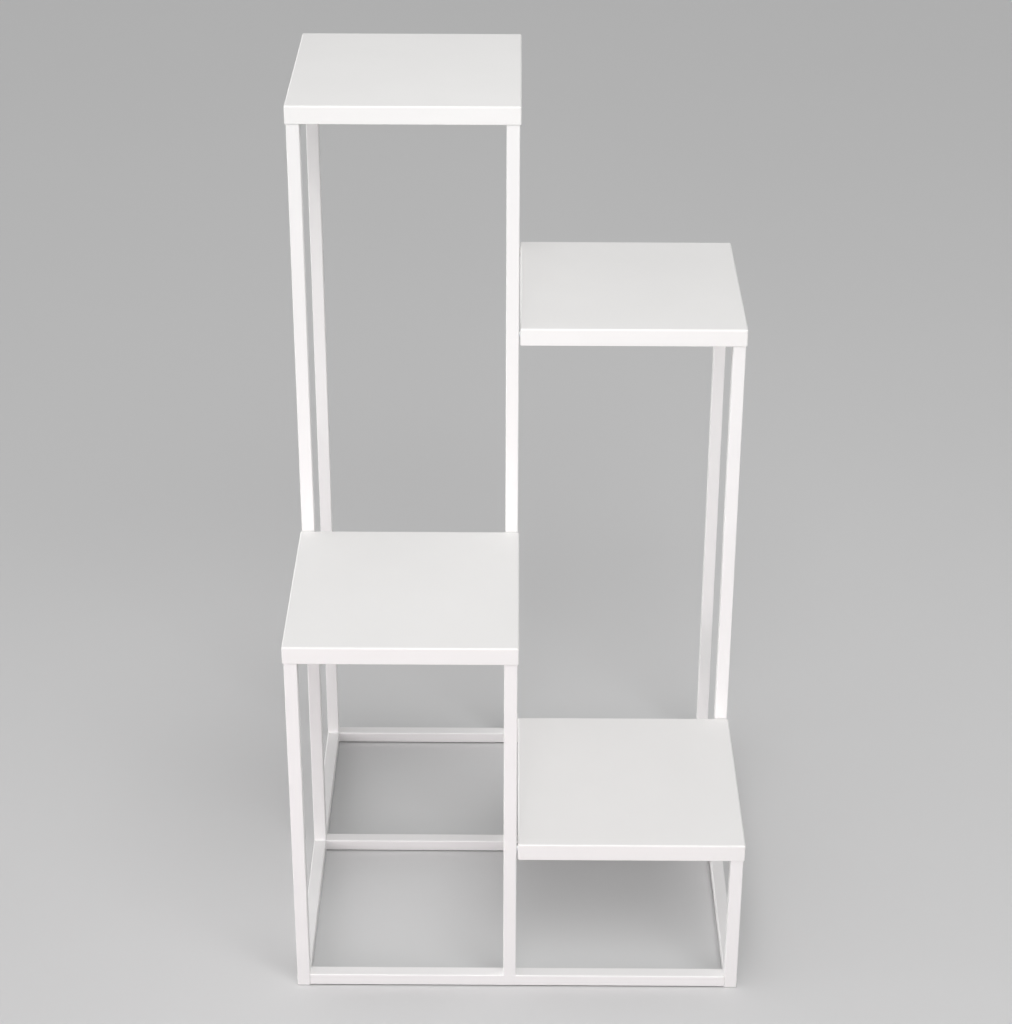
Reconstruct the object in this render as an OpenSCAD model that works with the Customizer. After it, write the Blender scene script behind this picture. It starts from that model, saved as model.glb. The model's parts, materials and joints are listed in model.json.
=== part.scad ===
// Four-tier plant stand: square folded trays on square tube legs, stepping down over a two by two grid.
// The legs stand on a three by three grid: columns run left to right, rows run front to back.
// Origin: the middle of the footprint, on the floor. +X is right, +Y is back, +Z is up. Millimetres.

/* [Trays] */
// Side of each square tray, which is also the pitch of the grid
tray_side = 260; // [220:5:320]
// Thickness of the tray sheet
sheet = 1.2; // [1:0.1:1.5]
// Depth of the folded lip
lip_depth = 21; // [18:1:30]
// Outside radius of the folds and of the tray's upright corners
fold_r = 2; // [1.8:0.1:2.4]
// Height of the top tray, back left
top_tray_z = 1000; // [850:1:1200]
// Height of the second tray, back right
second_tray_z = 734; // [600:1:820]
// Height of the third tray, front left
third_tray_z = 469; // [350:1:570]
// Height of the bottom tray, front right
bottom_tray_z = 206; // [120:1:320]

/* [Square tube] */
// Side of the tube
tube_side = 15; // [14:0.5:18]
// Wall of the tube
tube_wall = 1; // [0.8:0.1:1.2]
// Outside corner radius of the tube
tube_corner_r = 1.5; // [1.3:0.1:1.8]
// Slack between a tray's lip and the legs inside it
tray_slack = 0.2; // [0.1:0.05:0.5]
// Slack on each side of what plugs into a tube
plug_slack = 0.05; // [0.02:0.01:0.1]

/* [Foot glides] */
// Thickness of the pad under a leg
glide_pad = 1.5; // [1:0.1:3]
// Height of the spigot that holds a glide in its leg, below the rail bolt's head
glide_spigot = 2; // [1:0.1:2.2]

/* [Rail joints] */
// Thread radius of a rail bolt
rail_bolt_r = 3; // [2.5:0.1:3]
// Length of a rail bolt below its head
rail_bolt_length = 18; // [12:1:20]
// Radius of a rail bolt's head
rail_head_r = 5; // [4.5:0.1:5]
// Height of a rail bolt's head
rail_head_h = 6; // [4:0.5:7]
// Width of the hexagon socket in a rail bolt's head, across its flats
rail_socket_flats = 5; // [4:0.5:5]
// Depth of that socket
rail_socket_depth = 3; // [2:0.5:3]
// Slack between a rail bolt's head and the hole that it goes in by
access_slack = 0.25; // [0.15:0.05:0.3]
// Length of the threaded block in a rail's end
end_nut_length = 20; // [20:1:30]
// Radius of a hole cap's rim
cap_rim_r = 6; // [5.7:0.1:6.5]
// Thickness of a hole cap's rim
cap_rim_t = 0.8; // [0.5:0.1:1]
// Depth of a hole cap's stem
cap_stem = 3; // [2:0.5:4]
// Slack between a hole cap's stem and its hole
cap_slack = 0.1; // [0.05:0.05:0.2]

/* [Tray fixings] */
// Thread radius of the tray studs and screws
thread_r = 2.5; // [2:0.1:2.5]
// Slack between a thread and a plain hole
hole_slack = 0.25; // [0.15:0.05:0.4]
// Play between a thread and its nut
thread_play = 0.05; // [0.02:0.01:0.1]
// Thickness of a tray bracket
bracket_t = 2; // [1.5:0.1:3]
// Width of a tray bracket
bracket_w = 11; // [9:0.5:11]
// Reach of a tray bracket from its leg
bracket_reach = 22; // [20:1:30]
// Drop of a tray bracket down its leg
bracket_drop = 14; // [10:1:16]
// Size of the fillet weld under a tray bracket
bracket_weld = 2; // [1:0.1:2]
// Distance of a stud's axis from its leg
stud_offset = 13; // [11:0.5:14]
// Length of a stud below its tray
stud_length = 11; // [8:0.5:13]
// Radius of a nut's flange
nut_flange_r = 5.5; // [4.7:0.1:5.5]
// Thickness of a nut's flange
nut_flange_t = 1.2; // [0.8:0.1:1.5]
// Height of a nut with its flange
nut_h = 5; // [4:0.5:5.5]
// Width of a nut across its flats
nut_flats = 8; // [7:0.5:8.5]
// Radius of a tray screw's head
screw_head_r = 4.75; // [4.3:0.05:5]
// Height of a tray screw's head
screw_head_h = 2.75; // [2:0.25:3]
// Width of the hexagon socket in a tray screw's head, across its flats
screw_socket_flats = 3; // [2.5:0.5:3]
// Depth of that socket
screw_socket_depth = 1.6; // [1:0.1:1.8]
// Length of a tray screw below its head
screw_length = 12; // [10:0.5:13]
// Radius of a rivet nut's collar
rivet_collar_r = 5.5; // [5:0.1:6]
// Radius of a rivet nut's barrel
rivet_barrel_r = 3.5; // [3.3:0.1:3.8]
// Length of a rivet nut's barrel behind the leg's wall
rivet_barrel_h = 9; // [8:0.5:10]
// Radius of the bulge that a set rivet nut makes behind the wall
rivet_bulge_r = 4.4; // [4:0.1:4.8]
// Height of that bulge
rivet_bulge_h = 2.5; // [1.5:0.5:4]
// Slack between a rivet nut's barrel and its hole
rivet_slack = 0.05; // [0.02:0.01:0.1]

/* [Corner tab] */
// Reach of the tab in front of the bottom tray's back edge
tab_reach = 22; // [20:1:30]
// Lap of the tab on the side of its leg
tab_lap = 10; // [8:0.5:10.5]
// Height of the tab
tab_h = 16; // [13:1:18]
// Distance of the tab's screw from the bottom tray's back edge
tab_screw_y = 12; // [10:0.5:14]

/* [Hidden] */
$fn = 48;
paint = [0.94, 0.94, 0.93];
zinc = [0.72, 0.74, 0.76];
plastic = [0.86, 0.86, 0.85];
hex_sides = 6;
// Slope of the chamfer on a nut's corners
nut_chamfer = 30;
// Share of a domed head's height that its straight rim takes
dome_rim = 0.3;
// A cutter runs this far past the face that it opens.
over = 0.5;
// The legs stand this far inside the edges of their own tray, and so this far from a neighbour's lip.
leg_inset = sheet + tray_slack;
// A leg ends below the inside radius of the fold, and its bracket carries the tray.
leg_head_drop = fold_r;
rail_top = glide_pad + tube_side;
rail_axis_z = glide_pad + tube_side / 2;
outer_face = tray_side - leg_inset;
plug_side = tube_side - 2 * tube_wall - 2 * plug_slack;
access_r = rail_head_r + access_slack;
tube_flat = tube_side - 2 * tube_corner_r;
// The bead's slope touches the round edge of the tube that it lies against, less a hair.
bead_clear = 0.02;
bead = (2 - sqrt(2)) * tube_corner_r - bead_clear;
tab_back = leg_inset + tube_corner_r + tab_lap;
tab_z = bottom_tray_z - lip_depth / 2 - tab_h / 2;

ROWS = ["front", "middle", "back"];
// Row, column and tray height of each leg
LEGS = [
  ["front", "left", third_tray_z],
  ["front", "centre", third_tray_z],
  ["front", "right", bottom_tray_z],
  ["middle", "left", top_tray_z],
  ["middle", "centre", top_tray_z],
  ["middle", "right", second_tray_z],
  ["back", "left", top_tray_z],
  ["back", "centre", top_tray_z],
  ["back", "right", second_tray_z],
];
// The legs of the two outer columns reach the floor; the centre ones stand on the cross rails.
FLOOR_LEGS = [for (l = LEGS) if (l[1] != "centre") l];
// Name, front left corner and height of each tray
TRAYS = [
  ["top_tray", -tray_side, 0, top_tray_z],
  ["second_tray", 0, 0, second_tray_z],
  ["third_tray", -tray_side, -tray_side, third_tray_z],
  ["bottom_tray", 0, -tray_side, bottom_tray_z],
];
// Name, column, row at the front end and row at the back end of each side rail
SIDE_RAILS = [
  ["front_left_side_rail", "left", "front", "middle"],
  ["back_left_side_rail", "left", "middle", "back"],
  ["front_right_side_rail", "right", "front", "middle"],
  ["back_right_side_rail", "right", "middle", "back"],
];
GROUPS = [
  "left_frame_welds",
  "right_frame_welds",
  "centre_post_welds",
  "bracket_welds",
  "corner_tab",
  "rail_end_nuts",
  "rail_bolts",
  "bolt_hole_caps",
  "tray_studs",
  "flange_nuts",
  "tray_screws",
  "rivet_nuts",
];
function leg_name(l, piece) = str(l[0], "_", l[1], piece);

// Left side of the legs in a column: the centre ones belong to the left trays.
function tube_x(column) =
  column == "left" ? -outer_face : column == "centre" ? -leg_inset - tube_side : outer_face - tube_side;
// Front of the legs in a row: the middle ones belong to the back trays.
function tube_y(row) =
  row == "front" ? -outer_face : row == "middle" ? leg_inset : outer_face - tube_side;
function mid_x(column) = tube_x(column) + tube_side / 2;
function mid_y(row) = tube_y(row) + tube_side / 2;
// A bracket reaches right from the left column, and left from the others, into its own tray.
function inward(column) = column == "left" ? 1 : -1;
function inner_x(column) = mid_x(column) + inward(column) * tube_side / 2;

module rounded_square(side, r) {
  translate([r, 0]) square([side - 2 * r, side]);
  translate([0, r]) square([side, side - 2 * r]);
  for (x = [r, side - r], y = [r, side - r]) translate([x, y]) circle(r);
}

// A rectangle whose two top corners are round
module domed_rectangle(width, height, r) {
  square([width, height - r]);
  translate([r, 0]) square([width - 2 * r, height]);
  for (x = [r, width - r]) translate([x, height - r]) circle(r);
}

// A square block with round top edges and round upright corners, all of one radius
module folded_block(side, height, r) {
  intersection() {
    translate([0, side, 0]) rotate([90, 0, 0]) linear_extrude(side) domed_rectangle(side, height, r);
    rotate([90, 0, 90]) linear_extrude(side) domed_rectangle(side, height, r);
    linear_extrude(height) rounded_square(side, r);
  }
}

module square_tube(length) {
  linear_extrude(length) difference() {
    rounded_square(tube_side, tube_corner_r);
    translate([tube_wall, tube_wall]) rounded_square(tube_side - 2 * tube_wall, tube_corner_r - tube_wall);
  }
}

// What plugs into a tube, centred on the Z axis
module plug(length) {
  translate([-plug_side / 2, -plug_side / 2, 0])
    linear_extrude(length) rounded_square(plug_side, tube_corner_r - tube_wall);
}

// A hexagon prism of the given width across its flats
module hexagon(flats, height) {
  cylinder(r = flats / sqrt(3), h = height, $fn = hex_sides);
}

// A low dome that stands on the origin's plane
module dome(r, height) {
  rise = height * (1 - dome_rim);
  ball_r = (r * r + rise * rise) / (2 * rise);
  intersection() {
    cylinder(r = r, h = height);
    translate([0, 0, height - ball_r]) sphere(ball_r);
  }
}

// A screw that points along +Z: its head, the child, stands downward from the origin
module screw(r, length, head_h, socket_flats, socket_depth) {
  difference() {
    union() {
      cylinder(r = r, h = length);
      mirror([0, 0, 1]) children();
    }
    translate([0, 0, -head_h - over]) hexagon(socket_flats, socket_depth + over);
  }
}

// Places of the six rail joints: origin on a leg's outer face, +Z along the rail
module at_rail_joints() {
  for (row = ROWS, side = [-1, 1])
    translate([side * outer_face, mid_y(row), rail_axis_z]) rotate([0, -90 * side, 0]) children();
}

// Place of a tray bracket: origin on the leg's inner face and the tray's underside, +X into the tray
module at_bracket(row, column, tray_z) {
  translate([inner_x(column), mid_y(row), tray_z - sheet])
    mirror([(1 - inward(column)) / 2, 0, 0]) children();
}

// Places of the studs: origin on the underside of a tray, +Z up
module at_studs() {
  for (l = LEGS) at_bracket(l[0], l[1], l[2]) translate([stud_offset, 0, 0]) children();
}

// A tray's back lip beside a leg: origin on the lip's outer face, +Z into the leg
module at_back_lip(column, tray_z) {
  translate([mid_x(column), 0, tray_z - lip_depth / 2]) rotate([-90, 0, 0]) children();
}

// A tray's left lip beside a leg: origin on the lip's outer face, +Z into the leg
module at_left_lip(row, tray_z) {
  translate([0, mid_y(row), tray_z - lip_depth / 2]) rotate([0, -90, 0]) children();
}

// Places where a lip is screwed to the taller leg beside it
module at_leg_screws() {
  at_back_lip("left", third_tray_z) children();
  at_back_lip("centre", third_tray_z) children();
  at_left_lip("middle", second_tray_z) children();
  at_left_lip("back", second_tray_z) children();
  at_left_lip("front", bottom_tray_z) children();
  at_back_lip("right", bottom_tray_z) children();
}

// The corner tab's screw: origin on the lip's outer face, +Z away from the bottom tray
module at_tab_screw() {
  translate([0, -tab_screw_y, bottom_tray_z - lip_depth / 2]) rotate([0, -90, 0]) children();
}

module at_tray_screws() {
  at_leg_screws() children();
  at_tab_screw() children();
}

// A plain hole from the origin's plane on through the given thickness
module clear_hole(r, thickness) {
  translate([0, 0, -over]) cylinder(r = r, h = thickness + 2 * over);
}

module tray(x, y, top_z) {
  inside = tray_side - 2 * sheet;
  color(paint) difference() {
    translate([x, y, top_z - lip_depth]) folded_block(tray_side, lip_depth, fold_r);
    translate([x + sheet, y + sheet, top_z - lip_depth - over])
      folded_block(inside, lip_depth - sheet + over, fold_r - sheet);
    at_tray_screws() translate([0, 0, -sheet]) clear_hole(thread_r + hole_slack, sheet);
  }
}

module leg(row, column, tray_z) {
  base = column == "centre" ? rail_top : glide_pad;
  color(paint) difference() {
    translate([tube_x(column), tube_y(row), base]) square_tube(tray_z - leg_head_drop - base);
    at_leg_screws() translate([0, 0, leg_inset]) clear_hole(rivet_barrel_r + rivet_slack, tube_wall);
    at_rail_joints() {
      clear_hole(access_r, tube_wall);
      translate([0, 0, tube_side - tube_wall]) clear_hole(rail_bolt_r + hole_slack, tube_wall);
    }
  }
}

module cross_rail(row) {
  color(paint) translate([-outer_face + tube_side, tube_y(row), glide_pad])
    rotate([90, 0, 90]) square_tube(2 * (outer_face - tube_side));
}

module side_rail(column, front_row, back_row) {
  start = tube_y(front_row) + tube_side;
  color(paint) translate([tube_x(column), start, rail_top])
    rotate([-90, 0, 0]) square_tube(tube_y(back_row) - start);
}

module glide(row, column) {
  color(plastic) {
    translate([tube_x(column), tube_y(row), 0])
      linear_extrude(glide_pad) rounded_square(tube_side, tube_corner_r);
    translate([mid_x(column), mid_y(row), 0]) plug(glide_pad + glide_spigot);
  }
}

// Angle bracket at a leg's head: the short side is welded to the leg, the long one carries the tray
module bracket(row, column, tray_z) {
  profile = [
    [0, 0],
    [bracket_reach, 0],
    [bracket_reach, -bracket_t],
    [bracket_t, -bracket_t],
    [bracket_t, -bracket_drop],
    [0, -bracket_drop],
  ];
  color(paint) difference() {
    at_bracket(row, column, tray_z)
      translate([0, bracket_w / 2, 0]) rotate([90, 0, 0]) linear_extrude(bracket_w) polygon(profile);
    at_studs() translate([0, 0, -bracket_t]) clear_hole(thread_r + hole_slack, bracket_t);
  }
}

// Weld metal in a corner: its two faces lie along X and Y
module weld_bead(size, length) {
  linear_extrude(length) polygon([[0, 0], [size, 0], [0, size]]);
}

// The two upright beads where a side rail's end meets a leg, which lies in front (-1) or behind (1)
module rail_end_beads(column, end_y, leg_side) {
  for (side = [0, 1])
    translate([tube_x(column) + side * tube_side, end_y, glide_pad + tube_corner_r])
      mirror([side, 0, 0]) mirror([0, (1 - leg_side) / 2, 0]) weld_bead(bead, tube_flat);
}

module frame_welds(column) {
  color(paint) for (r = SIDE_RAILS) if (r[1] == column) {
    rail_end_beads(column, tube_y(r[2]) + tube_side, -1);
    rail_end_beads(column, tube_y(r[3]), 1);
  }
}

module left_frame_welds() {
  frame_welds("left");
}

module right_frame_welds() {
  frame_welds("right");
}

// The two level beads under each centre post, along the round edges of its rail
module centre_post_welds() {
  color(paint) for (row = ROWS, side = [0, 1])
    translate([tube_x("centre") + tube_corner_r, tube_y(row) + side * tube_side, rail_top])
      mirror([0, side, 0]) rotate([90, 0, 90]) mirror([0, 1, 0]) weld_bead(bead, tube_flat);
}

// The beads under the brackets, and the upright one behind the corner tab
module bracket_welds() {
  color(paint) {
    for (l = LEGS) at_bracket(l[0], l[1], l[2])
      translate([0, bracket_w / 2, -bracket_drop]) rotate([90, 0, 0])
        mirror([0, 1, 0]) weld_bead(bracket_weld, bracket_w);
    translate([-leg_inset, tab_back, tab_z]) weld_bead(leg_inset, tab_h);
  }
}

// Flat tab in the gap between the middle centre leg and the bottom tray's left lip
module corner_tab() {
  color(paint) difference() {
    translate([-leg_inset, -tab_reach, tab_z]) cube([leg_inset, tab_reach + tab_back, tab_h]);
    at_tab_screw() clear_hole(thread_r + hole_slack, leg_inset);
  }
}

module rail_end_nuts() {
  color(zinc) at_rail_joints() translate([0, 0, tube_side]) difference() {
    plug(end_nut_length);
    clear_hole(rail_bolt_r + thread_play, end_nut_length);
  }
}

module rail_bolts() {
  color(zinc) at_rail_joints() translate([0, 0, tube_side - tube_wall])
    screw(rail_bolt_r, rail_bolt_length, rail_head_h, rail_socket_flats, rail_socket_depth)
      cylinder(r = rail_head_r, h = rail_head_h);
}

module bolt_hole_caps() {
  color(plastic) at_rail_joints() {
    mirror([0, 0, 1]) dome(cap_rim_r, cap_rim_t);
    cylinder(r = access_r - cap_slack, h = cap_stem);
  }
}

module tray_studs() {
  color(zinc) at_studs() translate([0, 0, -stud_length]) cylinder(r = thread_r, h = stud_length);
}

// A flange nut that stands on the origin's plane, with its flange down
module flange_nut() {
  flat_r = nut_flats / 2;
  difference() {
    union() {
      cylinder(r1 = nut_flange_r, r2 = flat_r, h = nut_flange_t);
      intersection() {
        hexagon(nut_flats, nut_h);
        cylinder(r1 = flat_r + nut_h / tan(nut_chamfer), r2 = flat_r, h = nut_h);
      }
    }
    clear_hole(thread_r + thread_play, nut_h);
  }
}

module flange_nuts() {
  color(zinc) {
    at_studs() translate([0, 0, -bracket_t]) mirror([0, 0, 1]) flange_nut();
    at_tab_screw() translate([0, 0, leg_inset]) flange_nut();
  }
}

module tray_screws() {
  color(zinc) at_tray_screws() translate([0, 0, -sheet])
    screw(thread_r, screw_length, screw_head_h, screw_socket_flats, screw_socket_depth)
      dome(screw_head_r, screw_head_h);
}

// The collar fills the gap between lip and leg, and the set barrel grips the leg's wall.
module rivet_nuts() {
  behind = leg_inset + tube_wall;
  color(zinc) at_leg_screws() difference() {
    union() {
      cylinder(r = rivet_collar_r, h = leg_inset);
      cylinder(r = rivet_barrel_r, h = behind + rivet_barrel_h);
      translate([0, 0, behind]) cylinder(r = rivet_bulge_r, h = rivet_bulge_h);
    }
    clear_hole(thread_r + thread_play, behind + rivet_barrel_h);
  }
}

for (t = TRAYS) tray(t[1], t[2], t[3]);
for (l = LEGS) leg(l[0], l[1], l[2]);
for (row = ROWS) cross_rail(row);
for (r = SIDE_RAILS) side_rail(r[1], r[2], r[3]);
for (l = FLOOR_LEGS) glide(l[0], l[1]);
for (l = LEGS) bracket(l[0], l[1], l[2]);
left_frame_welds();
right_frame_welds();
centre_post_welds();
bracket_welds();
corner_tab();
rail_end_nuts();
rail_bolts();
bolt_hole_caps();
tray_studs();
flange_nuts();
tray_screws();
rivet_nuts();
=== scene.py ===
import json
import math

import bmesh
import bpy
import mathutils
from mathutils import Matrix, Vector


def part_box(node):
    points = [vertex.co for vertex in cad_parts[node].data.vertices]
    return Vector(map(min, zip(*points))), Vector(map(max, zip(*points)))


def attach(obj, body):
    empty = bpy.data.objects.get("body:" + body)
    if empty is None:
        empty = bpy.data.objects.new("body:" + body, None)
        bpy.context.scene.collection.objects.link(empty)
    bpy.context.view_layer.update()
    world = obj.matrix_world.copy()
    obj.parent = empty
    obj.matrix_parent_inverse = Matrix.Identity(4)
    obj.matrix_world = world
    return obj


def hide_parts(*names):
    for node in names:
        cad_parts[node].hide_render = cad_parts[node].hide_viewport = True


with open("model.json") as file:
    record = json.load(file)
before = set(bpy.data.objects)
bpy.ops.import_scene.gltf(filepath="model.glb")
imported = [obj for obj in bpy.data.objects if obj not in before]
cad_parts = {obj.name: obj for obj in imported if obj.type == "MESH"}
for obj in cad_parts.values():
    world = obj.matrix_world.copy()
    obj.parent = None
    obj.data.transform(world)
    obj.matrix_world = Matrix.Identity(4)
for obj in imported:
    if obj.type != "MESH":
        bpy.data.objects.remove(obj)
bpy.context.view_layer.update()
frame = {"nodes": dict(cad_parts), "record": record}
NODES = frame["nodes"]

MM = 0.001


# ---------------------------------------------------------------- materials

# Scales of the finishes' patterns, in waves per metre
COAT_DRIFT, COAT_GLOSS, COAT_PEEL, COAT_SPECK, COAT_FINE_PEEL = 9, 30, 420, 900, 1500
ZINC_BLOOM, ZINC_STAIN, ZINC_GRAIN = 260, 1100, 3500
PLASTIC_FLOW, PLASTIC_RUB, PLASTIC_GRAIN = 120, 700, 2600

COAT_SPECULAR = 0.4
ZINC_GRAIN_DEPTH = 0.004 * MM


def new_material(name):
    """A material with its node tree, its shader and the coordinates of the object that wears it."""
    m = bpy.data.materials.new(name)
    m.use_nodes = True
    tree = m.node_tree
    tree.nodes.clear()
    out = tree.nodes.new("ShaderNodeOutputMaterial")
    bsdf = tree.nodes.new("ShaderNodeBsdfPrincipled")
    tree.links.new(bsdf.outputs[0], out.inputs[0])
    return m, tree, bsdf, tree.nodes.new("ShaderNodeTexCoord").outputs["Object"]


def node(tree, kind, inputs=(), **props):
    """A node with its properties and inputs set; an input that is a socket is linked."""
    n = tree.nodes.new(kind)
    for k, v in props.items():
        setattr(n, k, v)
    for k, v in dict(inputs).items():
        if isinstance(v, bpy.types.NodeSocket):
            tree.links.new(v, n.inputs[k])
        else:
            n.inputs[k].default_value = v
    return n


def math_node(tree, operation, *values):
    """The result of a calculation with numbers or sockets."""
    return node(tree, "ShaderNodeMath", enumerate(values), operation=operation).outputs[0]


def noise(tree, place, scale, detail=2.0, roughness=0.5):
    """A soft random pattern from 0 to 1."""
    inputs = {"Vector": place, "Scale": scale, "Detail": detail, "Roughness": roughness}
    return node(tree, "ShaderNodeTexNoise", inputs).outputs["Fac"]


def ramp(tree, fac, low, high, to_low, to_high):
    """Maps low..high to to_low..to_high, clamped."""
    inputs = {"Value": fac, "From Min": low, "From Max": high, "To Min": to_low, "To Max": to_high}
    return node(tree, "ShaderNodeMapRange", inputs).outputs["Result"]


def mix_colour(tree, fac, a, b):
    """Colour a where fac is 0 and b where it is 1; each is a socket or a red, green and blue."""
    n = tree.nodes.new("ShaderNodeMix")
    n.data_type = "RGBA"
    for i, v in ((0, fac), (6, a), (7, b)):
        if isinstance(v, bpy.types.NodeSocket):
            tree.links.new(v, n.inputs[i])
        else:
            n.inputs[i].default_value = v if i == 0 else (*v, 1)
    return n.outputs[2]


def bump(tree, height, distance, under=None):
    """A bump node for a height pattern, over another bump if one is given."""
    inputs = {"Height": height, "Distance": distance, "Strength": 1.0}
    if under is not None:
        inputs["Normal"] = under
    return node(tree, "ShaderNodeBump", inputs).outputs[0]


def powder_coat(name, colour, shade, peel=0.01 * MM, gloss=(0.5, 0.58)):
    """Satin powder coat: orange peel of a given depth, and slow drifts of tone and gloss."""
    m, tree, bsdf, place = new_material(name)
    drift = noise(tree, place, COAT_DRIFT, 3, 0.55)
    speck = noise(tree, place, COAT_SPECK, 2, 0.6)
    speck_colour = tuple(c * 0.9 for c in shade)
    tone = mix_colour(tree, ramp(tree, drift, 0.3, 0.7, 0, 1), colour, shade)
    tone = mix_colour(tree, ramp(tree, speck, 0.62, 0.8, 0, 0.25), tone, speck_colour)
    tree.links.new(tone, bsdf.inputs["Base Color"])
    gloss_drift = noise(tree, place, COAT_GLOSS, 3, 0.6)
    tree.links.new(ramp(tree, gloss_drift, 0.3, 0.7, *gloss), bsdf.inputs["Roughness"])
    bsdf.inputs["Specular IOR Level"].default_value = COAT_SPECULAR
    wave = bump(tree, noise(tree, place, COAT_PEEL, 1, 0.4), peel)
    fine = noise(tree, place, COAT_FINE_PEEL, 1, 0.5)
    tree.links.new(bump(tree, fine, peel * 0.15, wave), bsdf.inputs["Normal"])
    return m


def zinc_plate(name):
    """Bright zinc plate: a bluish metal with a faint yellow bloom, dull spots and fine grain."""
    m, tree, bsdf, place = new_material(name)
    bloom = noise(tree, place, ZINC_BLOOM, 3, 0.6)
    tone = mix_colour(tree, ramp(tree, bloom, 0.4, 0.65, 0, 1), (0.60, 0.63, 0.67), (0.66, 0.64, 0.56))
    stain = noise(tree, place, ZINC_STAIN, 2, 0.7)
    tone = mix_colour(tree, ramp(tree, stain, 0.55, 0.75, 0, 0.5), tone, (0.42, 0.42, 0.42))
    tree.links.new(tone, bsdf.inputs["Base Color"])
    tree.links.new(ramp(tree, stain, 0.35, 0.7, 0.26, 0.46), bsdf.inputs["Roughness"])
    bsdf.inputs["Metallic"].default_value = 1.0
    grain = noise(tree, place, ZINC_GRAIN, 2, 0.6)
    tree.links.new(bump(tree, grain, ZINC_GRAIN_DEPTH), bsdf.inputs["Normal"])
    return m


def moulded(name, colour, scuffed, roughness, grain, scuff):
    """Moulded plastic: a spark-eroded grain of a given depth, flow marks, and scuffs that catch dust."""
    m, tree, bsdf, place = new_material(name)
    flow = noise(tree, place, PLASTIC_FLOW, 2, 0.5)
    tone = mix_colour(tree, ramp(tree, flow, 0.3, 0.7, 0, 1), colour, tuple(c * 0.96 for c in colour))
    rub = noise(tree, place, PLASTIC_RUB, 4, 0.7)
    tone = mix_colour(tree, ramp(tree, rub, 0.5, 0.72, 0, scuff), tone, scuffed)
    tree.links.new(tone, bsdf.inputs["Base Color"])
    gloss_drift = ramp(tree, flow, 0.3, 0.7, roughness - 0.04, roughness + 0.05)
    tree.links.new(gloss_drift, bsdf.inputs["Roughness"])
    tree.links.new(bump(tree, noise(tree, place, PLASTIC_GRAIN, 2, 0.6), grain), bsdf.inputs["Normal"])
    return m


BY_SLOT = {
    "tray_coat": powder_coat("tray_coat", (0.86, 0.85, 0.84), (0.845, 0.835, 0.825)),
    "tube_coat": powder_coat("tube_coat", (0.86, 0.85, 0.845), (0.84, 0.83, 0.825), 0.008 * MM),
    "bracket_coat": powder_coat("bracket_coat", (0.84, 0.83, 0.82), (0.77, 0.76, 0.755), 0.014 * MM,
                                (0.46, 0.62)),
    "zinc": zinc_plate("zinc"),
    "glide_plastic": moulded("glide_plastic", (0.6, 0.6, 0.59), (0.42, 0.41, 0.39), 0.6, 0.02 * MM, 0.6),
    "cap_plastic": moulded("cap_plastic", (0.8, 0.79, 0.78), (0.7, 0.69, 0.68), 0.42, 0.008 * MM, 0.25),
}


def dress_nodes():
    """Gives every CAD node the material of its slot in the record."""
    for part in frame["record"]["subparts"]:
        o = NODES[part["node"]]
        if len(o.material_slots) == 0:
            o.data.materials.append(None)
        for slot in o.material_slots:
            slot.material = BY_SLOT[part["material_slot"]]


dress_nodes()


# ---------------------------------------------------------------- pieces

SMOOTH_ANGLE = math.radians(40)
SAME_POINT = 1e-7
CORNER_STEPS = 6       # in a quarter round of a square ring
TUBE_R = 1.5 * MM      # round edges of the tubes, and of the glides under them

ROWS = ("front", "middle", "back")
LEGS = [row + "_" + column for row in ROWS for column in ("left", "centre", "right")]
FLOOR_LEGS = [leg for leg in LEGS if "centre" not in leg]


def finish_piece(name, bm, slot, *nodes):
    """Turns a bmesh into a smooth piece that rides on the stand and stands for the given CAD nodes."""
    bmesh.ops.remove_doubles(bm, verts=bm.verts, dist=SAME_POINT)
    bmesh.ops.dissolve_degenerate(bm, edges=bm.edges, dist=SAME_POINT)
    bmesh.ops.recalc_face_normals(bm, faces=bm.faces)
    mesh = bpy.data.meshes.new(name)
    bm.to_mesh(mesh)
    bm.free()
    for p in mesh.polygons:
        p.use_smooth = True
    mesh.set_sharp_from_angle(angle=SMOOTH_ANGLE)
    mesh.materials.append(BY_SLOT[slot])
    o = bpy.data.objects.new(name, mesh)
    bpy.context.scene.collection.objects.link(o)
    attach(o, "root")
    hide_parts(*nodes)


def local_frame(origin, x_axis, y_axis):
    """Maps local points to the stand: X and Y along the given directions, and Z across both."""
    x, y = Vector(x_axis), Vector(y_axis)
    return Matrix.Translation(origin) @ Matrix((x, y, x.cross(y))).transposed().to_4x4()


def loft(bm, rings, place=Matrix(), caps=True):
    """Skins rings of as many points each, and fills the two end rings."""
    made = [[bm.verts.new(place @ Vector(p)) for p in r] for r in rings]
    for a, b in zip(made, made[1:]):
        for i in range(len(a)):
            j = (i + 1) % len(a)
            bm.faces.new((a[i], a[j], b[j], b[i]))
    if caps:
        bm.faces.new(made[0][::-1])
        bm.faces.new(made[-1])


def arc(centre, radius, start, end, steps):
    """Points of an arc in a plane; angles in degrees, ends included."""
    for i in range(steps + 1):
        a = math.radians(start + (end - start) * i / steps)
        yield centre[0] + radius * math.cos(a), centre[1] + radius * math.sin(a)


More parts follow.
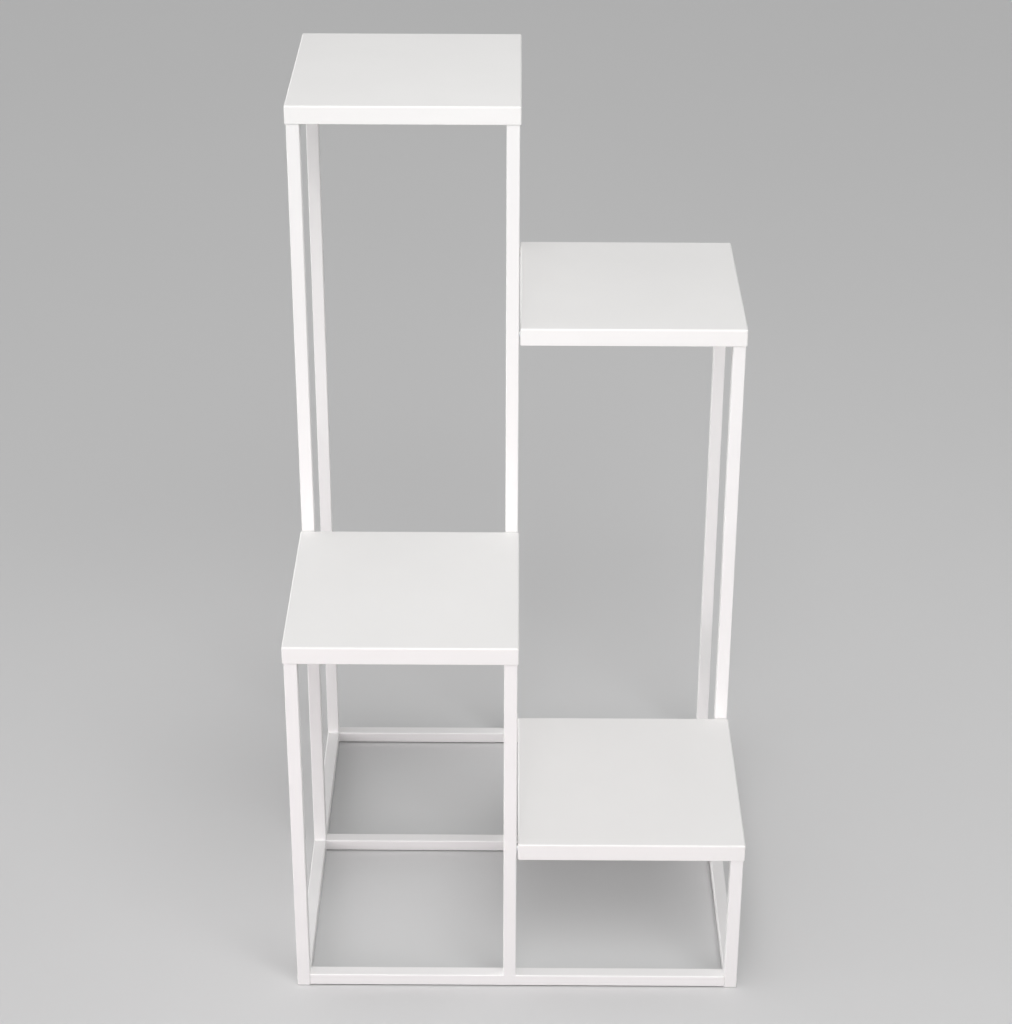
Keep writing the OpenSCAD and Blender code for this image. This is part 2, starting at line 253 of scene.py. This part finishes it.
def square_ring(lo, hi, corner_r, inset, z, fractions=()):
    """A square ring with round corners, at one inset from the box's faces; fractions split its sides."""
    r = max(corner_r - inset, 0)
    c = max(corner_r, inset)
    corners = [(hi.x - c, lo.y + c), (hi.x - c, hi.y - c), (lo.x + c, hi.y - c), (lo.x + c, lo.y + c)]
    out = []
    for k, (cx, cy) in enumerate(corners):
        out += [(x, y, z) for x, y in arc((cx, cy), r, 90 * k - 90, 90 * k, CORNER_STEPS)]
        nx, ny = corners[(k + 1) % 4]
        a = math.radians(90 * k)
        dx, dy = r * math.cos(a), r * math.sin(a)
        out += [(cx + (nx - cx) * f + dx, cy + (ny - cy) * f + dy, z) for f in fractions]
    return out


# Trays
FOLD_R = 2.0 * MM
SHEET = 1.2 * MM
RIM_R = 0.35 * MM
FOLD_STEPS, INNER_FOLD_STEPS, RIM_STEPS = 10, 5, 3
GUARD = 0.4 * MM       # flat strip beside a bend, so that the flat's shading stays flat
SIDE_STEPS = 26
DISH = 0.25 * MM       # about the greatest dip of a tray's top
DOME_POWER = 0.7       # under 1, which makes the dip fuller near the folds
DIP_WAVES = 2.6        # waves of the dip's unevenness along a tray's side


def lip_section(depth):
    """The folded sheet from the top face round the lip to the underside: (inset from the face, height)."""
    low = RIM_R - depth
    fold = (FOLD_R, -FOLD_R)
    return [*arc(fold, FOLD_R, 90, 180, FOLD_STEPS), (0, -FOLD_R - GUARD), (0, low + GUARD),
            *arc((RIM_R, low), RIM_R, 180, 270, RIM_STEPS),
            *arc((SHEET - RIM_R, low), RIM_R, 270, 360, RIM_STEPS),
            (SHEET, low + GUARD), (SHEET, -FOLD_R - GUARD),
            *arc(fold, FOLD_R - SHEET, 180, 90, INNER_FOLD_STEPS)]


def dip(u, v, seed):
    """How far the sheet lies below its edges, as a share of DISH."""
    dome = (math.sin(math.pi * u) * math.sin(math.pi * v)) ** DOME_POWER
    wave = mathutils.noise.noise(Vector((u * DIP_WAVES + seed, v * DIP_WAVES, 0.3 * seed)))
    return dome * (0.75 + 0.5 * wave)


def fill_flat(bm, x, y, z, side, steps, seed):
    """One face of a tray's flat as a grid, from its corner at x, y and z."""
    grid = [bm.verts.new((x + side * u, y + side * v, z - DISH * dip(u, v, seed)))
            for u in steps for v in steps]
    n = len(steps)
    for k in (i * n + j for i in range(n - 1) for j in range(n - 1)):
        bm.faces.new((grid[k], grid[k + n], grid[k + n + 1], grid[k + 1]))


def make_tray(name, seed):
    """A folded sheet tray: round folds and corners, a rounded lower rim, and a slight dip in its top."""
    lo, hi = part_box(name)
    side = hi.x - lo.x - 2 * FOLD_R
    g = GUARD / side
    steps = [0, g] + [g + (1 - 2 * g) * i / SIDE_STEPS for i in range(1, SIDE_STEPS)] + [1 - g, 1]
    bm = bmesh.new()
    rings = [square_ring(lo, hi, FOLD_R, d, hi.z + z, steps[1:-1]) for d, z in lip_section(hi.z - lo.z)]
    loft(bm, rings, caps=False)
    for z in (hi.z, hi.z - SHEET):
        fill_flat(bm, lo.x + FOLD_R, lo.y + FOLD_R, z, side, steps, seed)
    finish_piece(name + "_sheet", bm, "tray_coat", name)


for seed, name in enumerate(("top_tray", "second_tray", "third_tray", "bottom_tray")):
    make_tray(name, seed)

# Angle brackets: bent plate with round corners
PLATE = 2.0 * MM
BEND_R = 3.5 * MM
BEND_STEPS = 8
PLATE_EDGE = 0.3 * MM  # bevel of the edges
PLATE_CORNER = 2.5 * MM
CORNER_CUT = 0.9       # how much of a quarter round the corners lose
CORNER_AT = (0, 0.05, 0.15, 0.35, 0.65, 1)    # cuts across a corner, in its length


def bracket_side(leg):
    """Which way along X a leg's bracket reaches, and the X of the leg's face behind it."""
    lo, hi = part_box(leg + "_bracket")
    return (1, lo.x) if "left" in leg else (-1, hi.x)


def plate_ring(point, normal, half_width, half_thick):
    """A cut across a plate with bevelled edges: its middle is at point, and its faces lie along normal."""
    e = min(PLATE_EDGE, half_thick / 2)
    corners = [(half_width, half_thick - e), (half_width - e, half_thick)]
    corners += [(-w, t) for w, t in reversed(corners)]
    corners += [(-w, -t) for w, t in corners]
    return [(point[0] + normal[0] * t, point[1] + normal[1] * t, w) for w, t in corners]


def make_bracket(leg):
    """A bent plate: one arm reaches out under the tray, and the other goes down the leg's face."""
    lo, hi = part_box(leg + "_bracket")
    inward, face = bracket_side(leg)
    reach, drop, half_width = hi.x - lo.x, hi.z - lo.z, (hi.y - lo.y) / 2
    centre = (BEND_R, -BEND_R)
    middle_r = BEND_R - PLATE / 2
    ends = [PLATE_CORNER * f for f in CORNER_AT]
    path = [((reach - d, -PLATE / 2), (0, 1), d) for d in ends]
    path += [((x, y), ((x - centre[0]) / middle_r, (y - centre[1]) / middle_r), PLATE_CORNER)
             for x, y in arc(centre, middle_r, 90, 180, BEND_STEPS)]
    path += [((PLATE / 2, d - drop), (-1, 0), d) for d in reversed(ends)]
    rings = []
    for point, normal, d in path:
        round_off = PLATE_CORNER - math.sqrt(max(PLATE_CORNER ** 2 - (PLATE_CORNER - d) ** 2, 0))
        half_thick = PLATE / 2 - (PLATE_EDGE if d == 0 else 0)
        rings.append(plate_ring(point, normal, half_width - round_off * CORNER_CUT, half_thick))
    bm = bmesh.new()
    loft(bm, rings, local_frame((face, (lo.y + hi.y) / 2, hi.z), (inward, 0, 0), (0, 0, 1)))
    finish_piece(leg + "_angle", bm, "bracket_coat", leg + "_bracket")


for leg in LEGS:
    make_bracket(leg)

# Weld metal
RIPPLE = 1.3 * MM      # from one ripple of a bead to the next
RIPPLE_STEPS = 6       # rings in a ripple
BEAD_STEPS = 8         # across a bead
BEAD_END = 0.8         # length of a bead's round end, over the bead's size
BRACKET_BEAD = 2.2 * MM
BEAD_WAVES = 700       # waves of a bead's unevenness in a metre
FILLET_R = 1.4 * MM
FILLET_STEPS = 6
FILLET_AT = (0, 0.03, 0.08, 0.16, 0.3, 0.5, 0.7, 0.84, 0.92, 0.97, 1)    # rings, in its length
RUN_OUT = 1.1 * MM     # how far ground weld metal runs past a joint


def bead(bm, place, size, length, seed, bulge=0.16):
    """A weld bead in a corner whose two faces lie along local X and Y: rippled, and round at its ends."""
    rings = []
    n = max(12, int(length / (RIPPLE / RIPPLE_STEPS)))
    for k in range(n + 1):
        z = length * k / n
        end = min(z, length - z) / (BEAD_END * size)
        fade = math.sqrt(max(1 - (1 - min(end, 1)) ** 2, 0.02))
        wander = 0.5 + mathutils.noise.noise(Vector((z * BEAD_WAVES, seed * 3.1, 0)))
        r = size * fade * (0.93 + 0.05 * math.sin(2 * math.pi * z / RIPPLE) + 0.05 * wander)
        ring = [(0, 0, z)]
        for i in range(BEAD_STEPS + 1):
            t = i / BEAD_STEPS
            out = bulge * r * math.sin(math.pi * t)
            ring.append((r * (1 - t) + out, r * t + out, z))
        rings.append(ring)
    loft(bm, rings, place)


def fillet(bm, place, radius, length):
    """Ground and painted-over metal in a corner: hollow, and fading out at its ends."""
    rings = []
    for share in FILLET_AT:
        z = share * length
        r = radius * max(1 - abs(2 * share - 1) ** 6, 0.02)
        rings.append([(0, 0, z)] + [(x, y, z) for x, y in arc((r, r), r, 270, 180, FILLET_STEPS)])
    loft(bm, rings, place)


def flush_bead(bm, place, length):
    """Ground weld metal beside a tube's round edge, which runs out a little past its ends."""
    full = (2 - math.sqrt(2)) * TUBE_R
    start = [(-RUN_OUT, 0.05), (-0.6 * RUN_OUT, 0.55), (0, 1)]
    end = [(length - z, share) for z, share in reversed(start)]
    rings = []
    for z, share in start + end:
        size = full * share
        rings.append([(0, 0, z), (size, 0, z), (0, size, z)])
    loft(bm, rings, place)


def make_frame_welds(side):
    """The welds at both ends of one side's two rails: flush beads beside them and fillets on top."""
    bm = bmesh.new()
    for rail in ("front_" + side + "_side_rail", "back_" + side + "_side_rail"):
        lo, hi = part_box(rail)
        flat_x, flat_z = hi.x - lo.x - 2 * TUBE_R, hi.z - lo.z - 2 * TUBE_R
        for y, to_leg in ((lo.y, -1), (hi.y, 1)):
            for x, inward in ((lo.x, 1), (hi.x, -1)):
                z = lo.z + TUBE_R if inward * to_leg > 0 else hi.z - TUBE_R
                flush_bead(bm, local_frame((x, y, z), (inward, 0, 0), (0, to_leg, 0)), flat_z)
            x = lo.x + TUBE_R if to_leg < 0 else hi.x - TUBE_R
            fillet(bm, local_frame((x, y, hi.z), (0, -to_leg, 0), (0, 0, 1)), FILLET_R, flat_x)
    finish_piece(side + "_frame_beads", bm, "tube_coat", side + "_frame_welds")


def make_post_welds():
    """The welds at the centre legs' feet: flush beads in front and behind, and fillets at the sides."""
    bm = bmesh.new()
    for row in ROWS:
        lo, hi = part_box(row + "_centre_leg")
        flat = hi.x - lo.x - 2 * TUBE_R
        for y, inward in ((lo.y, 1), (hi.y, -1)):
            x = hi.x - TUBE_R if inward > 0 else lo.x + TUBE_R
            flush_bead(bm, local_frame((x, y, lo.z), (0, inward, 0), (0, 0, -1)), flat)
        for x, away in ((lo.x, -1), (hi.x, 1)):
            y = lo.y + TUBE_R if away < 0 else hi.y - TUBE_R
            fillet(bm, local_frame((x, y, lo.z), (away, 0, 0), (0, 0, 1)), FILLET_R, flat)
    finish_piece("centre_post_beads", bm, "tube_coat", "centre_post_welds")


def make_bracket_welds():
    """A rippled bead under each bracket, and one beside the corner tab."""
    bm = bmesh.new()
    for seed, leg in enumerate(LEGS):
        lo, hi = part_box(leg + "_bracket")
        inward, face = bracket_side(leg)
        start = lo.y if inward > 0 else hi.y
        place = local_frame((face, start, lo.z), (inward, 0, 0), (0, 0, -1))
        bead(bm, place, BRACKET_BEAD, hi.y - lo.y, seed)
    lo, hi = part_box("corner_tab")
    place = local_frame((lo.x, hi.y, lo.z), (1, 0, 0), (0, 1, 0))
    bead(bm, place, hi.x - lo.x, hi.z - lo.z, len(LEGS), 0.05)
    finish_piece("bracket_beads", bm, "bracket_coat", "bracket_welds")


make_frame_welds("left")
make_frame_welds("right")
make_post_welds()
make_bracket_welds()

# Threaded studs
STUD_OFFSET = 13 * MM  # from the leg's face
STUD_LENGTH = 11 * MM
STUD_TIP = 0.7 * MM
THREAD_R = 2.5 * MM
THREAD_PITCH = 0.8 * MM
THREAD_DEPTH = 0.45 * MM
THREAD_SLOPE = 2.4     # how fast the thread falls from its crest, in depths a turn
RINGS_PER_TURN = 8
STUD_SIDES = 24


def stud_rings():
    """Rings up a stud: their radius follows the thread, and narrows at the tip."""
    rings = []
    n = int(STUD_LENGTH / (THREAD_PITCH / RINGS_PER_TURN))
    for k in range(n + 1):
        z = STUD_LENGTH * k / n
        tip = THREAD_R - max(0, z - (STUD_LENGTH - STUD_TIP))
        ring = []
        for i in range(STUD_SIDES):
            turn = (z / THREAD_PITCH - i / STUD_SIDES) % 1
            r = min(THREAD_R - THREAD_DEPTH * min(1, THREAD_SLOPE * abs(turn - 0.5)), tip)
            a = 2 * math.pi * i / STUD_SIDES
            ring.append((r * math.cos(a), r * math.sin(a), z))
        rings.append(ring)
    return rings


def make_studs():
    """The studs under the trays, which go down through the brackets."""
    bm = bmesh.new()
    rings = stud_rings()
    for leg in LEGS:
        lo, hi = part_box(leg + "_bracket")
        inward, face = bracket_side(leg)
        at = (face + inward * STUD_OFFSET, (lo.y + hi.y) / 2, hi.z)
        loft(bm, rings, local_frame(at, (1, 0, 0), (0, -1, 0)))
    finish_piece("tray_stud_threads", bm, "zinc", "tray_studs")


make_studs()

# Moulded caps and glides: a cap's profile is (radius, height), a glide's (inset, height), in millimetres
CAP_AT = 9.0 * MM      # height of a cap's middle
CAP_SIDES = 40
CAP_PROFILE = ((0.4, -3), (4.8, -3), (5.15, -2.7), (5.15, 0), (5.95, 0), (6, 0.1), (5.97, 0.25),
               (5.85, 0.38), (5.5, 0.47), (4.8, 0.56), (3.6, 0.66), (2.4, 0.73), (1.2, 0.77), (0.7, 0.78),
               (0.62, 0.74), (0.3, 0.72))
GLIDE_PROFILE = ((0.6, 0), (0.3, 0.04), (0.1, 0.16), (0, 0.4), (0, 1.3), (0.06, 1.44), (0.2, 1.5),
                 (1.05, 1.5), (1.05, 3.3), (1.25, 3.5))


def make_caps():
    """The caps on the outer sides of the floor legs: slightly domed, with a dimple in the middle."""
    bm = bmesh.new()
    turns = [2 * math.pi * i / CAP_SIDES for i in range(CAP_SIDES)]
    rings = [[(r * MM * math.cos(a), r * MM * math.sin(a), h * MM) for a in turns] for r, h in CAP_PROFILE]
    for leg in FLOOR_LEGS:
        lo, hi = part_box(leg + "_leg")
        out, face = (-1, lo.x) if "left" in leg else (1, hi.x)
        loft(bm, rings, local_frame((face, (lo.y + hi.y) / 2, CAP_AT), (0, out, 0), (0, 0, 1)))
    finish_piece("bolt_hole_plugs", bm, "cap_plastic", "bolt_hole_caps")


def make_glide(leg):
    """A foot pad with a rounded tread, and the spigot that goes up into the leg."""
    lo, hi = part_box(leg + "_glide")
    bm = bmesh.new()
    loft(bm, [square_ring(lo, hi, TUBE_R, d * MM, z * MM) for d, z in GLIDE_PROFILE])
    finish_piece(leg + "_foot_pad", bm, "glide_plastic", leg + "_glide")


make_caps()
for leg in FLOOR_LEGS:
    make_glide(leg)


# ---------------------------------------------------------------- stage

FLOOR_SEEN = (0.68, 0.68, 0.68)
FLOOR_BOUNCE = (0.12, 0.12, 0.12)
FLOOR_CLOUDS = 1.5     # scale of the floor's faint pattern
FLOOR_HALF = 40

ROUND_GLOW, LEFT_GLOW, FRONT_GLOW = 1.69, 3.09, 0.31
BAND_POWER = 2
UP, LEFT, FRONT = (0, 0, 1), (-1, 0, 0), (0, -0.75, 0.66)


def seen_ray(tree):
    """1 for rays by which the camera sees, straight, in gloss or through glass, and 0 for bounced light."""
    path = tree.nodes.new("ShaderNodeLightPath").outputs
    seen = math_node(tree, "MAXIMUM", path["Is Camera Ray"], path["Is Glossy Ray"])
    return math_node(tree, "MAXIMUM", seen, path["Is Transmission Ray"])


def floor_material():
    """A plain pale floor that throws back only as much light as a dark one."""
    m, tree, bsdf, place = new_material("studio_floor")
    clouds = noise(tree, place, FLOOR_CLOUDS, 2)
    tone = mix_colour(tree, clouds, FLOOR_SEEN, tuple(c * 1.02 for c in FLOOR_SEEN))
    tree.links.new(mix_colour(tree, seen_ray(tree), FLOOR_BOUNCE, tone), bsdf.inputs["Base Color"])
    bsdf.inputs["Roughness"].default_value = 0.9
    bsdf.inputs["Specular IOR Level"].default_value = 0.2
    return m


def make_floor():
    """A square floor under the stand."""
    h = FLOOR_HALF
    mesh = bpy.data.meshes.new("studio_floor")
    mesh.from_pydata([(-h, -h, 0), (h, -h, 0), (h, h, 0), (-h, h, 0)], [], [(0, 1, 2, 3)])
    o = bpy.data.objects.new("studio_floor", mesh)
    bpy.context.scene.collection.objects.link(o)
    mesh.materials.append(floor_material())


def lamp(name, place, aim, size, watts, colour=(1, 1, 1), spread=180):
    """A rectangular lamp that points at aim; its spread is in degrees."""
    data = bpy.data.lights.new(name, "AREA")
    data.spread = math.radians(spread)
    data.shape = "RECTANGLE"
    data.size, data.size_y = size
    data.energy = watts
    data.color = colour
    o = bpy.data.objects.new(name, data)
    bpy.context.scene.collection.objects.link(o)
    o.location = place
    o.rotation_mode = "QUATERNION"
    o.rotation_quaternion = (Vector(aim) - Vector(place)).to_track_quat("-Z", "Y")


def towards(tree, ray, direction):
    """How far a ray of the world points towards a direction: 0 from the side or behind, 1 straight at it."""
    dot = node(tree, "ShaderNodeVectorMath", {0: ray, 1: direction}, operation="DOT_PRODUCT")
    return math_node(tree, "MAXIMUM", dot.outputs["Value"], 0.0)


def make_world():
    """Soft light from all round, strongest near the horizon and on the left, as from large panels."""
    world = bpy.data.worlds.new("studio")
    bpy.context.scene.world = world
    world.use_nodes = True
    tree = world.node_tree
    tree.nodes.clear()
    ray = tree.nodes.new("ShaderNodeTexCoord").outputs["Generated"]
    band = math_node(tree, "POWER", math_node(tree, "SUBTRACT", 1.0, towards(tree, ray, UP)), BAND_POWER)
    side_glow = math_node(tree, "MULTIPLY_ADD", towards(tree, ray, LEFT), LEFT_GLOW, ROUND_GLOW)
    front_glow = math_node(tree, "MULTIPLY", towards(tree, ray, FRONT), FRONT_GLOW)
    glow = math_node(tree, "MULTIPLY_ADD", band, side_glow, front_glow)
    light = node(tree, "ShaderNodeBackground", {"Color": (1, 1, 1, 1), "Strength": glow})
    backdrop = node(tree, "ShaderNodeBackground", {"Color": (*FLOOR_SEEN, 1), "Strength": 1.0})
    inputs = {0: seen_ray(tree), 1: light.outputs[0], 2: backdrop.outputs[0]}
    mix = node(tree, "ShaderNodeMixShader", inputs)
    tree.links.new(mix.outputs[0], tree.nodes.new("ShaderNodeOutputWorld").inputs[0])


make_floor()
lamp("key_light", (0.5, -1.6, 2.5), (0, 0, 0.5), (1.8, 1.4), 33.3)
lamp("low_light", (-0.5, -1.7, 0.35), (-0.1, 0, 0.24), (1.6, 0.4), 0.695, (1.0, 0.76, 0.85), 60)
make_world()


# ---------------------------------------------------------------- camera

# Fitted to the photograph's edges; focal length and shift in pixels of its frame, 1012 wide and 1024 high
LONG_SIDE = 1024
FOCAL_PX = 2408.96
SHIFT_PX = -100
CAMERA_AT = (-0.00553, -2.49711, 1.87606)
YAW, PITCH, ROLL = (math.radians(a) for a in (-0.2415, 26.5522, 0.1659))
SENSOR = 36
FAR_CLIP = 200


def make_camera():
    """The photograph's camera: turned right by YAW, down by PITCH, and about its line of sight by ROLL."""
    ahead = Vector((math.sin(YAW) * math.cos(PITCH), math.cos(YAW) * math.cos(PITCH), -math.sin(PITCH)))
    right = Vector((math.cos(YAW), -math.sin(YAW), 0))
    up = right.cross(ahead)
    x_axis = right * math.cos(ROLL) + up * math.sin(ROLL)
    y_axis = up * math.cos(ROLL) - right * math.sin(ROLL)
    turn = Matrix((x_axis, y_axis, -ahead)).transposed()
    data = bpy.data.cameras.new("photo_camera")
    data.sensor_width = SENSOR
    data.lens = FOCAL_PX / LONG_SIDE * SENSOR
    data.shift_y = SHIFT_PX / LONG_SIDE
    data.clip_end = FAR_CLIP
    o = bpy.data.objects.new("photo_camera", data)
    bpy.context.scene.collection.objects.link(o)
    o.matrix_world = Matrix.Translation(CAMERA_AT) @ turn.to_4x4()
    bpy.context.scene.camera = o


make_camera()
bpy.context.scene.view_settings.view_transform = "Standard"
